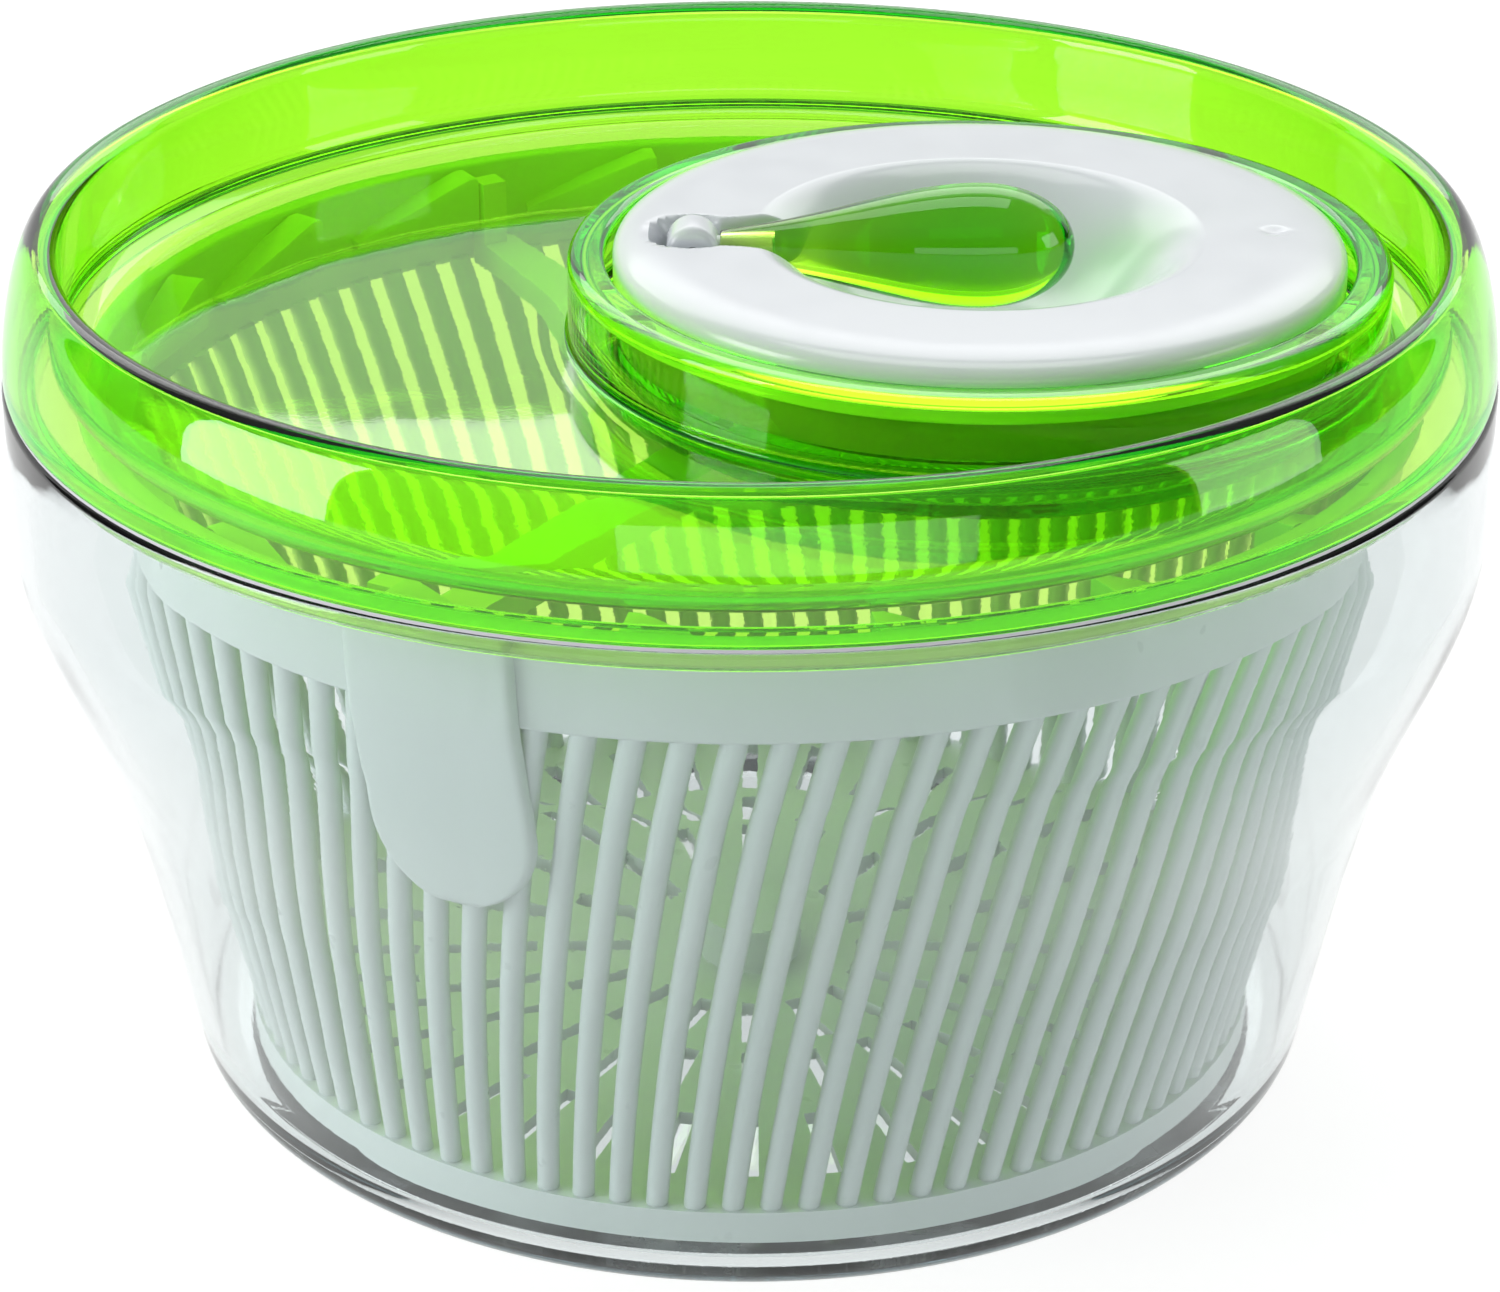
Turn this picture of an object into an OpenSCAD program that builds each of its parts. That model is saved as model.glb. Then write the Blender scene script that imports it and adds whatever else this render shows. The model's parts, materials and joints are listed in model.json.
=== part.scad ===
// Salad spinner with a geared crank lid and a folding knob.
// Millimetres, +Z up. The origin is the centre of the ring that it stands on.
// The bowl, basket and driver share the Z axis. The crank turns about a
// parallel axis, offset along +X by the centre distance of its gears.

/* [Bowl] */
// Outer radius of the bowl's rim
rim_r = 130.5; // [129.5:0.5:132]
// Height of the bowl's rim
rim_z = 133; // [132:0.5:133]
// Thickness of the bowl's wall
bowl_wall = 3; // [2.5:0.1:3.2]
// Height of the inside of the bowl's floor
bowl_floor_z = 5; // [4.5:0.1:5]

/* [Lid] */
// Height of the lid's crest
crest_z = 157.5; // [156:0.5:159]
// Height of the recessed plate's top
plate_z = 135.5; // [135.5:0.1:136]
// Thickness of the lid's walls
lid_wall = 2.4; // [2:0.1:2.5]
// Outer radius of the drum that holds the crank
drum_r = 72; // [71.5:0.1:72]
// Height of the drum's top
drum_z = 150; // [149.5:0.1:150.5]

/* [Crank] */
// Outer radius of the crank disc
disc_r = 64; // [63.5:0.1:64.5]
// Height of the crank disc's top
disc_z = 153; // [152.5:0.1:153.5]
// Thickness of the crank disc's shell
disc_wall = 2.3; // [2:0.1:2.4]
// Radius of the finger hollow in the crank disc
hollow_r = 39; // [37:0.5:40]
// Largest radius of the drop-shaped knob
knob_r = 10.9; // [10.5:0.1:11.2]
// Height of the knob's axis when it is folded
knob_z = 150.3; // [150:0.1:150.5]

/* [Gears] */
// Play along the pitch circle, taken off each flank of each tooth
tooth_play = 0.15; // [0.12:0.01:0.2]

/* [Basket] */
// Number of leaning slats in the basket's wall
slat_count = 90; // [80:1:92]
// Angle round the axis by which a slat's top leads its foot
slat_lead = 9; // [6:0.5:10]
// Radius of one slat
slat_r = 1.95; // [1.7:0.05:2]
// Direction of the first finger grip
grip_angle = -115.5; // [-120:0.5:-110]

/* [Hidden] */

$fn = 96;
fit = 0.05;               // radial play of a running fit

clear_colour = [0.90, 0.93, 0.95, 0.45];
green_colour = [0.55, 0.95, 0.15, 0.75];
white_colour = [0.93, 0.95, 0.96];
basket_colour = [0.88, 0.90, 0.89];
acetal_colour = [0.86, 0.85, 0.80];
seal_colour = [0.78, 0.76, 0.80];
steel_colour = [0.70, 0.71, 0.73];

// Bowl
shoulder_z = 106;         // below this the wall turns in
waist = [115, 59];        // radius and height where the shoulder ends
waist_slope = 0.28;       // change of radius with height at the waist
foot_corner_r = 8;
foot_r = 95.8;            // where the flat of the foot ends
foot_z = 0.6;             // underside, just above the non-slip ring
foot_lean = 11;           // degrees that the wall leans at the foot
ring_in_r = 86;
ring_out_r = 94;
ring_h = 2.4;
pivot_boss_r = 8;
pivot_boss_z = 9;
pivot_r = 3;
pivot_top_z = 17;
pivot_seat_z = bowl_floor_z - 2;
pivot_tip = 1.2;          // size of the slope at the pin's tip

// Basket
basket_top_z = 129.4;
band_foot_z = 110.5;
band_foot_r = 114.7;      // outer radius at the foot of the rim band
band_top_r = 116.6;       // outer radius at its top
band_wall = 2.4;
lip_r = 118.2;
lip_h = 2;
slat_foot = [90.6, 9.5];  // radius and height of a slat's foot
slat_top = [112.7, 111.6];
ring_foot_z = 7;
basket_floor_z = 12.4;    // top of the perforated floor
basket_floor_h = 2.4;
basket_ring_r = [88, 93.6];
boss_r = 9.5;
boss_z = 19.5;
cup_r = 5.5;
cup_z = 18;
washer_h = 0.9;
slot_rings = [[20, 16, 16], [40, 18, 24], [62, 20, 36]]; // inner radius, length, count
slot_w = 3;
ramp_count = 18;
ramp_in_r = 106.6;
ramp_out_r = 113.6;
ramp_root_r = 114.6;      // no ramp reaches further out, into the band's wall
ramp_z = [119, 128.8];
ramp_length = 26;
ramp_crest = 2;           // length of the flat on top of a ramp
ramp_tip = 1;             // height of a ramp's thin end
grip_w = 30;
grip_foot_z = 74;
grip_gap = 0.35;          // between the slats and the back of a grip
grip_wall = 2;

// Lid
seam_z = rim_z + 0.6;     // the seal fills the gap below this
lid_r = 130.2;
crest_r = 123;
crest_corner_r = 3.3;
plate_fillet_r = 6.5;
skirt_r = [124.8, 126.8];
skirt_z = 128.5;
pan_r = 64.2;             // the drum's lower part, under the plate
pan_z = [124.5, 126.5];
drum_lip_r = 65.5;
drum_edge_r = 2;

// Crank and gears
ring_teeth = 54;
pinion_teeth = 14;
gear_module = 2;          // pitch diameter for each tooth
crank_x = (ring_teeth - pinion_teeth) * gear_module / 2;
hub_r = 5;
hub_z = [120.7, 133.2];
hub_bush_r = 6.5;
hub_collar_r = 10;
hub_collar_z = [121, 131];
hub_flange_r = 8.5;
hollow_floor_z = 135.2;
hollow_floor_r = 12;
land_r = 54;              // outside this the disc's edge rounds over
skirt_foot_z = 143;
gear_z = [128, 135.5];
pressure_angle = 20;
gear_out_r = 60.5;
ring_root_r = 56.5;
ring_tip_r = 52.6;
pinion_root_r = 11.5;
pinion_tip_r = 15.7;
gear_wall = 2;
flange_in_r = 54;
flange_h = 2;
post_r = 2.4;
post_ring_r = 56.6;
post_angles = [45, 135, 225, 315];
pilot_r = 0.9;            // radius of a gear screw and of its hole
pilot_depth = 5;
gear_head = [1.8, 1.3];   // radius and height of a gear screw's head
crank_screw_r = 1.9;
crank_head = [3.6, 2.1];
crank_washer_r = 8;
crank_washer_h = 1;

// Folding knob, measured from the crank's axis
hinge_x = -50;
barrel_r = 4.6;
barrel_w = 8.8;
hinge_pin_r = 1.25;
hinge_pin_w = 18.4;
hinge_recess_r = 6.6;
hinge_floor_z = 142.6;
hinge_wall = 3;
neck_x = -45.2;
neck_r = 2.7;
bulb_x = 0;
knob_end_x = 16.7;
channel_floor_z = 139;
stem_r = 1.8;
stem_start_x = hinge_x + 2.5;
stem_end_x = -36;

// Driver
shaft_r = 5;
shaft_z = [108.5, 136.3];
shaft_bush_r = 8;
shaft_bush_z = [117, 127.4];
shaft_flange_r = 10.5;
shaft_collar_r = 11;
shaft_washer_r = 9.5;
spider_hub_r = 12;
spider_hub_z = [104.5, 116.6];
arm_z = [110.5, 115.5];
arm_w = 14;               // width of an arm where it leaves the hub
arm_tip_w = 8;
arm_tip_r = 110.2;
lug_in_r = 105.4;
lug_top_z = 128;
lug_w = 5;
lug_gap = 0.4;            // play between a lug and the ramp that it drives
arm_count = 3;
spider_screw_r = 2;
spider_head_r = 4;
spider_head_h = 2.2;
spider_bore_depth = 14;

// Points along a cubic curve from a to d, pulled towards b and c
function curve_point(a, b, c, d, t) =
    pow(1 - t, 3) * a + 3 * pow(1 - t, 2) * t * b + 3 * (1 - t) * t * t * c + pow(t, 3) * d;
function curve(a, b, c, d, n) = [for (i = [0:n]) curve_point(a, b, c, d, i / n)];
function arc(centre, r, from, to, n) =
    [for (i = [0:n]) let (a = from + (to - from) * i / n) centre + r * [cos(a), sin(a)]];
function reversed(p) = [for (i = [len(p) - 1:-1:0]) p[i]];

// Moves an open outline sideways by d, to the right of its direction
function beside(p, d) = [
    for (i = [0:len(p) - 1])
        let (a = p[max(i - 1, 0)], b = p[min(i + 1, len(p) - 1)], way = (b - a) / norm(b - a))
            p[i] + d * [way[1], -way[0]]
];

// Outside of the bowl, from the foot up to the rim
foot_arc = arc([foot_r, foot_z + foot_corner_r], foot_corner_r, -90, -foot_lean, 5);
foot_end = foot_arc[len(foot_arc) - 1];
bowl_outside = concat(
    foot_arc,
    reversed(curve(waist, waist - 16 * [waist_slope, 1],
                   foot_end + 16 * [tan(foot_lean), 1], foot_end + [0.5, 2.5], 6)),
    reversed(curve([rim_r, shoulder_z], [rim_r, shoulder_z - 13],
                   waist + 18 * [waist_slope, 1], waist + 0.5 * [waist_slope, 1], 9)),
    [[rim_r, rim_z]]
);
bowl_inside = [for (q = beside(bowl_outside, -bowl_wall)) if (q[1] > bowl_floor_z + 4) q];

// Top of the lid, from the seam over the crest to the middle of the plate
crest_in_r = crest_r - crest_corner_r;
lid_top = concat(
    [[lid_r, seam_z]],
    curve([lid_r, seam_z + 1], [lid_r, seam_z + 7.5], [127.3, crest_z], [crest_r, crest_z], 9),
    arc([crest_r, crest_z - crest_corner_r], crest_corner_r, 100, 180, 5),
    arc([crest_in_r - plate_fillet_r, plate_z + plate_fillet_r], plate_fillet_r, 0, -90, 5),
    [[0, plate_z]]
);

// Top of the crank disc, from its middle to the foot of its skirt
disc_top = concat(
    [[0, hollow_floor_z]],
    curve([hollow_floor_r, hollow_floor_z], [26, hollow_floor_z + 0.8],
          [hollow_r - 8, disc_z - 1.5], [hollow_r, disc_z - 0.1], 9),
    curve([land_r, disc_z], [disc_r - 3.5, disc_z], [disc_r, disc_z - 0.6],
          [disc_r, disc_z - 3.7], 5),
    [[disc_r, skirt_foot_z]]
);

// Half outline of the drop-shaped knob, from its neck to its round end
knob_outline = concat(
    curve([neck_x, neck_r], [-26, 5], [-14, knob_r], [bulb_x, knob_r], 9),
    [for (q = curve([bulb_x, knob_r], [9.5, knob_r], [knob_end_x, 6.5], [knob_end_x, 0], 8))
        if (q[0] > bulb_x) q]
);

// Radius of the basket's slats at a height, at their middle
function slat_radius(z) =
    slat_foot[0] + (slat_top[0] - slat_foot[0]) * (z - slat_foot[1]) / (slat_top[1] - slat_foot[1]);

// Involute tooth flanks: the half angle of a tooth at radius r
function involute(angle) = tan(angle) * 180 / PI - angle;
function flank_angle(r, base_r) = r <= base_r ? 0 : involute(acos(base_r / r));
function half_tooth(r, pitch_r, play) =
    (PI * gear_module / 4 - play / 2) / pitch_r * 180 / PI
    + involute(pressure_angle) - flank_angle(r, pitch_r * cos(pressure_angle));

// Outline of a gear whose solid teeth reach from root_r to tip_r
function gear_outline(teeth, root_r, tip_r, play) =
    let (pitch_r = teeth * gear_module / 2, steps = 6)
        [for (k = [0:teeth - 1])
            for (side = [-1, 1])
                for (i = [0:steps])
                    let (r = side < 0 ? root_r + (tip_r - root_r) * i / steps
                                      : tip_r - (tip_r - root_r) * i / steps,
                         a = 180 + 360 * k / teeth + side * half_tooth(r, pitch_r, play))
                        r * [cos(a), sin(a)]];

module tube(r_out, r_in, z) {
    translate([0, 0, z[0]])
        difference() {
            cylinder(r = r_out, h = z[1] - z[0]);
            translate([0, 0, -1]) cylinder(r = r_in, h = z[1] - z[0] + 2);
        }
}

module rod(r, z) {
    translate([0, 0, z[0]]) cylinder(r = r, h = z[1] - z[0]);
}

module at_crank() {
    translate([crank_x, 0, 0]) children();
}

// Bowl: clear, with a soft shoulder and a boss for the pivot
module bowl() {
    color(clear_colour) difference() {
        union() {
            rotate_extrude() polygon(concat(
                [[0, foot_z]], bowl_outside, reversed(bowl_inside),
                arc([bowl_inside[0][0] - 4, bowl_floor_z + 4], 4, -20, -90, 3),
                [[0, bowl_floor_z]]
            ));
            rod(pivot_boss_r, [bowl_floor_z - 1, pivot_boss_z]);
        }
        tube(ring_out_r, ring_in_r, [-1, ring_h]);
        rod(pivot_r, [pivot_seat_z, pivot_boss_z + 1]);
    }
}

module non_slip_ring() {
    color(seal_colour) tube(ring_out_r, ring_in_r, [0, ring_h]);
}

module pivot_pin() {
    color(steel_colour) rotate_extrude() polygon([
        [0, pivot_seat_z], [pivot_r, pivot_seat_z],
        [pivot_r, pivot_top_z - pivot_tip], [pivot_r - pivot_tip, pivot_top_z], [0, pivot_top_z]
    ]);
}

// Washer that lies loose on the bowl's boss, round the pin
module thrust_washer() {
    color(acetal_colour)
        tube(pivot_boss_r - 1, pivot_r + fit, [pivot_boss_z, pivot_boss_z + washer_h]);
}

module pivot_cup() {
    color(acetal_colour) difference() {
        rod(cup_r, [pivot_boss_z + washer_h + 0.1, cup_z]);
        rod(pivot_r + fit, [pivot_boss_z, pivot_top_z + 0.3]);
    }
}

// Basket floor: lower ring, perforated plate and a boss for the cup
module basket_floor() {
    color(basket_colour) difference() {
        union() {
            tube(basket_ring_r[1], basket_ring_r[0], [ring_foot_z, basket_floor_z]);
            rod(basket_ring_r[0] + 1, [basket_floor_z - basket_floor_h, basket_floor_z]);
            rod(boss_r, [basket_floor_z - basket_floor_h, boss_z]);
        }
        for (ring = slot_rings)
            for (k = [0:ring[2] - 1])
                rotate([0, 0, 360 * k / ring[2]])
                    translate([ring[0], -slot_w / 2, basket_floor_z - basket_floor_h - 1])
                        cube([ring[1], slot_w, basket_floor_h + 2]);
        rod(cup_r, [ring_foot_z, cup_z]);
    }
}

// One slat leans from its foot to its top, which leads it round the axis
module slat() {
    foot = [slat_foot[0], 0, slat_foot[1]];
    top = [slat_top[0] * cos(slat_lead), slat_top[0] * sin(slat_lead), slat_top[1]];
    way = top - foot;
    translate(foot)
        rotate([0, acos(way[2] / norm(way)), atan2(way[1], way[0])])
            cylinder(r = slat_r, h = norm(way), $fn = 8);
}

module basket_slats() {
    color(basket_colour)
        for (k = [0:slat_count - 1])
            rotate([0, 0, 360 * k / slat_count]) slat();
}

// One ramp: a saw tooth on the inside of the rim, steep on its first side
module ramp() {
    translate([ramp_in_r, 0, ramp_z[0]])
        rotate([90, 0, 90])
            linear_extrude(ramp_out_r - ramp_in_r)
                polygon([[0, 0], [ramp_length, 0], [ramp_length, ramp_tip],
                         [ramp_crest, ramp_z[1] - ramp_z[0]], [0, ramp_z[1] - ramp_z[0]]]);
}

module basket_rim() {
    color(basket_colour) {
        rotate_extrude() polygon([
            [band_foot_r - band_wall, band_foot_z], [band_foot_r, band_foot_z],
            [band_top_r, basket_top_z - lip_h], [lip_r, basket_top_z - lip_h],
            [lip_r, basket_top_z], [band_top_r - band_wall, basket_top_z]
        ]);
        for (k = [0:ramp_count - 1])
            rotate([0, 0, 360 * k / ramp_count]) intersection() {
                ramp();
                rod(ramp_root_r, [ramp_z[0] - 1, ramp_z[1] + 1]);
            }
    }
}

// Finger grips: two U-shaped tongues that stand just outside the slats
module basket_grips() {
    top_z = basket_top_z - lip_h;
    foot_back_r = slat_radius(grip_foot_z) + slat_r + grip_gap;
    band_back_r = slat_radius(band_foot_z) + slat_r + grip_gap;
    top_back_r = band_top_r + 0.05;
    round_z = grip_foot_z + grip_w / 2;
    color(basket_colour)
        for (turn = [0, 180])
            rotate([0, 0, grip_angle + turn])
                intersection() {
                    rotate_extrude() polygon([
                        [foot_back_r, grip_foot_z], [foot_back_r + grip_wall, grip_foot_z],
                        [band_back_r + grip_wall, band_foot_z], [lip_r - 0.1, top_z],
                        [top_back_r, top_z], [band_back_r, band_foot_z]
                    ]);
                    translate([80, 0, 0]) rotate([90, 0, 90]) {
                        translate([0, round_z, 0]) cylinder(r = grip_w / 2, h = 50);
                        translate([-grip_w / 2, round_z, 0])
                            cube([grip_w, top_z - round_z + 1, 50]);
                    }
                }
}

// Drum outline: a wide part above the lid's plate and a narrower pan below it
module drum() {
    wall_r = drum_r - lid_wall;
    shelf_z = plate_z - lid_wall;
    rotate_extrude() polygon(concat(
        [[0, pan_z[0]], [pan_r - 1, pan_z[0]], [pan_r, pan_z[0] + 1], [pan_r, shelf_z],
         [drum_r, shelf_z]],
        arc([drum_r - drum_edge_r, drum_z - drum_edge_r], drum_edge_r, 0, 90, 4),
        [[drum_lip_r + 0.6, drum_z], [drum_lip_r, drum_z - 0.6], [drum_lip_r, drum_z - lid_wall],
         [wall_r, drum_z - lid_wall], [wall_r, plate_z], [pan_r - lid_wall, plate_z],
         [pan_r - lid_wall, pan_z[1]], [0, pan_z[1]]]
    ));
}

module lid_shell() {
    color(green_colour) difference() {
        union() {
            difference() {
                rotate_extrude() polygon(concat(lid_top, reversed(beside(lid_top, -lid_wall))));
                at_crank() rod(drum_r - 1, [100, 200]);
            }
            tube(skirt_r[1], skirt_r[0], [skirt_z, seam_z + 2]);
            tube(lid_r - 1, skirt_r[0], [seam_z, seam_z + 2]);
            at_crank() drum();
            at_crank() rod(hub_collar_r, hub_collar_z);
            rod(shaft_collar_r, [shaft_bush_z[0], pan_z[0] + 1]);
        }
        at_crank() rod(hub_bush_r, [100, 200]);
        rod(shaft_bush_r, [100, 200]);
    }
}

module lid_seal() {
    color(seal_colour) tube(lid_r - 0.3, rim_r - bowl_wall + 0.2, [rim_z, seam_z]);
}

module hub_bush() {
    color(acetal_colour) at_crank() {
        tube(hub_bush_r, hub_r + fit, hub_collar_z);
        tube(hub_flange_r, hub_r + fit, [hub_collar_z[1], hub_collar_z[1] + 0.8]);
    }
}

module shaft_bush() {
    color(acetal_colour) {
        tube(shaft_bush_r, shaft_r + fit, [shaft_bush_z[0], pan_z[1]]);
        tube(shaft_flange_r, shaft_r + fit, [pan_z[1], shaft_bush_z[1]]);
    }
}

// Room for the folded neck and the hinge, grown to make the walls round it
module knob_channel(grow) {
    half_widths = [[hinge_x, 4.6], [-40, 4.9], [-28, 6.6], [-20, 9.1], [-14, 11]];
    translate([0, 0, channel_floor_z - grow])
        linear_extrude(20 + grow)
            polygon(concat([for (q = half_widths) [q[0], q[1] + grow]],
                           reversed([for (q = half_widths) [q[0], -q[1] - grow]])));
}

module crank_disc() {
    color(white_colour) at_crank() difference() {
        union() {
            rotate_extrude() polygon(concat(disc_top, reversed(beside(disc_top, disc_wall))));
            intersection() {
                rotate_extrude() polygon(concat([[0, hub_z[1]]], disc_top, [[disc_r, hub_z[1]]]));
                union() {
                    knob_channel(disc_wall - 0.1);
                    translate([hinge_x, 0, 0])
                        rod(hinge_recess_r + hinge_wall, [hinge_floor_z - disc_wall, disc_z + 1]);
                    for (a = post_angles)
                        rotate([0, 0, a]) translate([post_ring_r, 0, 0])
                            rod(post_r, [skirt_foot_z, disc_z]);
                }
            }
            rod(hub_r, hub_z);
            rod(hub_flange_r, [hub_collar_z[1] + 0.9, hub_z[1]]);
        }
        knob_channel(0);
        translate([hinge_x, 0, 0]) rod(hinge_recess_r, [hinge_floor_z, disc_z + 10]);
        translate([hinge_x, hinge_pin_w / 2, knob_z])
            rotate([90, 0, 0]) cylinder(r = hinge_pin_r, h = hinge_pin_w);
        for (a = post_angles)
            rotate([0, 0, a]) translate([post_ring_r, 0, 0])
                rod(pilot_r, [skirt_foot_z - 1, skirt_foot_z + pilot_depth]);
        rod(crank_screw_r, [hub_z[0] - 1, hub_z[1] - 2]);
    }
}

// Ring gear: inward teeth, a wall up to the disc and a screwed flange
module ring_gear() {
    color(acetal_colour) at_crank() difference() {
        union() {
            rod(gear_out_r, [gear_z[0], gear_z[1]]);
            tube(gear_out_r, gear_out_r - gear_wall, [gear_z[1] - 1, skirt_foot_z]);
            tube(gear_out_r, flange_in_r, [skirt_foot_z - flange_h, skirt_foot_z]);
        }
        translate([0, 0, gear_z[0] - 1])
            linear_extrude(gear_z[1] - gear_z[0] + 1.5)
                polygon(gear_outline(ring_teeth, ring_tip_r, ring_root_r, -2 * tooth_play));
        translate([-disc_r, -hinge_recess_r - hinge_wall - 1, gear_z[1] + 1.5])
            cube([disc_r + hinge_x + 12, 2 * (hinge_recess_r + hinge_wall + 1), 20]);
        for (a = post_angles)
            rotate([0, 0, a]) translate([post_ring_r, 0, 0])
                rod(pilot_r, [skirt_foot_z - flange_h - 1, skirt_foot_z + 1]);
    }
}

module gear_screws() {
    color(steel_colour) at_crank()
        for (a = post_angles)
            rotate([0, 0, a]) translate([post_ring_r, 0, 0]) {
                rod(pilot_r, [skirt_foot_z - flange_h, skirt_foot_z + pilot_depth - 0.5]);
                rod(gear_head[0], [skirt_foot_z - flange_h - gear_head[1], skirt_foot_z - flange_h]);
            }
}

module crank_washer() {
    color(steel_colour) at_crank()
        tube(crank_washer_r, crank_screw_r + fit, [hub_z[0] - crank_washer_h, hub_z[0]]);
}

module crank_screw() {
    color(steel_colour) at_crank() {
        rod(crank_screw_r, [hub_z[0] - crank_washer_h, hub_z[1] - 3]);
        rod(crank_head[0],
            [hub_z[0] - crank_washer_h - crank_head[1], hub_z[0] - crank_washer_h]);
    }
}

module hinge_pin() {
    color(steel_colour)
        translate([crank_x + hinge_x, hinge_pin_w / 2, knob_z])
            rotate([90, 0, 0]) cylinder(r = hinge_pin_r, h = hinge_pin_w);
}

module hinge_barrel() {
    color(white_colour) translate([crank_x + hinge_x, 0, knob_z]) difference() {
        rotate([90, 0, 0]) cylinder(r = barrel_r, h = barrel_w, center = true);
        rotate([90, 0, 0]) cylinder(r = hinge_pin_r + fit, h = barrel_w + 2, center = true);
        rotate([0, 90, 0]) translate([0, 0, stem_start_x - hinge_x])
            cylinder(r = stem_r, h = barrel_r);
    }
}

module knob_stem() {
    color(white_colour) translate([crank_x, 0, knob_z]) rotate([0, 90, 0])
        rod(stem_r, [stem_start_x, stem_end_x]);
}

// Knob: a drop turned about its own axis, loose on its stem
module handle_knob() {
    color(green_colour) translate([crank_x, 0, knob_z]) rotate([0, 90, 0]) difference() {
        rotate_extrude() polygon([
            for (q = concat([[neck_x, 0]], knob_outline)) [q[1], q[0]]
        ]);
        rod(stem_r + fit, [neck_x - 1, stem_end_x + 0.5]);
    }
}

module pinion() {
    color(acetal_colour) difference() {
        translate([0, 0, gear_z[0]]) linear_extrude(gear_z[1] - gear_z[0])
            polygon(gear_outline(pinion_teeth, pinion_root_r, pinion_tip_r, 2 * tooth_play));
        rod(shaft_r, [gear_z[0] - 1, gear_z[1] + 1]);
    }
}

module drive_shaft() {
    color(steel_colour) difference() {
        rod(shaft_r, shaft_z);
        rod(spider_screw_r, [shaft_z[0] - 1, shaft_z[0] + spider_bore_depth]);
    }
}

module shaft_washer() {
    color(steel_colour)
        tube(shaft_washer_r, shaft_r + fit, [shaft_bush_z[1] + fit, gear_z[0]]);
}

// Driver: a hub with three arms whose lugs push the basket's ramps. The arms taper to
// one side of the lugs, so that they also pass up between the ramps.
module drive_spider() {
    lug_shift = -lug_gap - lug_w;
    arm_outline = [
        [0, -arm_w / 2], [arm_tip_r - 1, -lug_gap - arm_tip_w], [arm_tip_r - 1, -lug_gap],
        [lug_in_r - 2, -lug_gap], [0, arm_w / 2]
    ];
    color(acetal_colour) difference() {
        union() {
            rod(spider_hub_r, spider_hub_z);
            for (k = [0:arm_count - 1])
                rotate([0, 0, 360 * k / arm_count]) {
                    translate([0, 0, arm_z[0]])
                        linear_extrude(arm_z[1] - arm_z[0]) polygon(arm_outline);
                    translate([lug_in_r, lug_shift, arm_z[0]])
                        cube([arm_tip_r - lug_in_r, lug_w, lug_top_z - arm_z[0]]);
                }
        }
        rod(shaft_r, [shaft_z[0], spider_hub_z[1] + 1]);
        rod(spider_screw_r, [spider_hub_z[0] - 1, shaft_z[0] + 1]);
        rod(spider_head_r, [spider_hub_z[0] - 1, spider_hub_z[0] + spider_head_h]);
    }
}

module spider_screw() {
    color(steel_colour) {
        rod(spider_screw_r, [spider_hub_z[0] + 1, shaft_z[0] + spider_bore_depth - 2]);
        rod(spider_head_r, [spider_hub_z[0], spider_hub_z[0] + spider_head_h]);
    }
}

bowl();
non_slip_ring();
pivot_pin();
thrust_washer();
pivot_cup();
basket_floor();
basket_slats();
basket_rim();
basket_grips();
lid_shell();
lid_seal();
hub_bush();
shaft_bush();
crank_disc();
ring_gear();
gear_screws();
crank_washer();
crank_screw();
hinge_pin();
hinge_barrel();
knob_stem();
handle_knob();
pinion();
drive_shaft();
shaft_washer();
drive_spider();
spider_screw();
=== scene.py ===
import json
import math

import bmesh
import bpy
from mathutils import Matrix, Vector


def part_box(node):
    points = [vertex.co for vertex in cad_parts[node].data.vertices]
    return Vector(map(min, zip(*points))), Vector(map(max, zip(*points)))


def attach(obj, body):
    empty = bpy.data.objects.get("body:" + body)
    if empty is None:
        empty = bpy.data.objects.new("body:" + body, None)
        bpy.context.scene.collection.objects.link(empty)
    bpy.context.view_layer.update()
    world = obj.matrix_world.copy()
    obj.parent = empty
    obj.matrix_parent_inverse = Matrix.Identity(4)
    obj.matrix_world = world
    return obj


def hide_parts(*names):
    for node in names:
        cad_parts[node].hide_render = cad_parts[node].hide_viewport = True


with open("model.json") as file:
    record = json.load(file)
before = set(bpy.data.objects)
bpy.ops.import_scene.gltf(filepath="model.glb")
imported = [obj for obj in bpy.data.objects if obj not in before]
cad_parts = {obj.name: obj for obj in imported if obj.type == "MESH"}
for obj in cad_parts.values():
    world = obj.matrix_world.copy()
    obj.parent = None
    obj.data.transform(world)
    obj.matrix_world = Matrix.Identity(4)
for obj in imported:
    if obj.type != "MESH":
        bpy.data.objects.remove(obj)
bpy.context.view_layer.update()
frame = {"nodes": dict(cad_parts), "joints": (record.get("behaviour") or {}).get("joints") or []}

# Shapes are worked out in millimetres, as in the CAD model, and put into Blender in metres.
MM = 0.001
SEGMENTS = 256

# ---------------------------------------------------------------- sizes from the frame

joints = {j["name"]: j for j in frame["joints"]}
crank_x = joints["crank_spin"]["pos_m"][0] / MM
hinge_x = joints["handle_fold"]["pos_m"][0] / MM
knob_z = joints["handle_fold"]["pos_m"][2] / MM


def low(node, axis):
    """Lowest coordinate of a CAD node along an axis, in millimetres."""
    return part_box(node)[0][axis] / MM


def high(node, axis):
    """Highest coordinate of a CAD node along an axis, in millimetres."""
    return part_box(node)[1][axis] / MM


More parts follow.
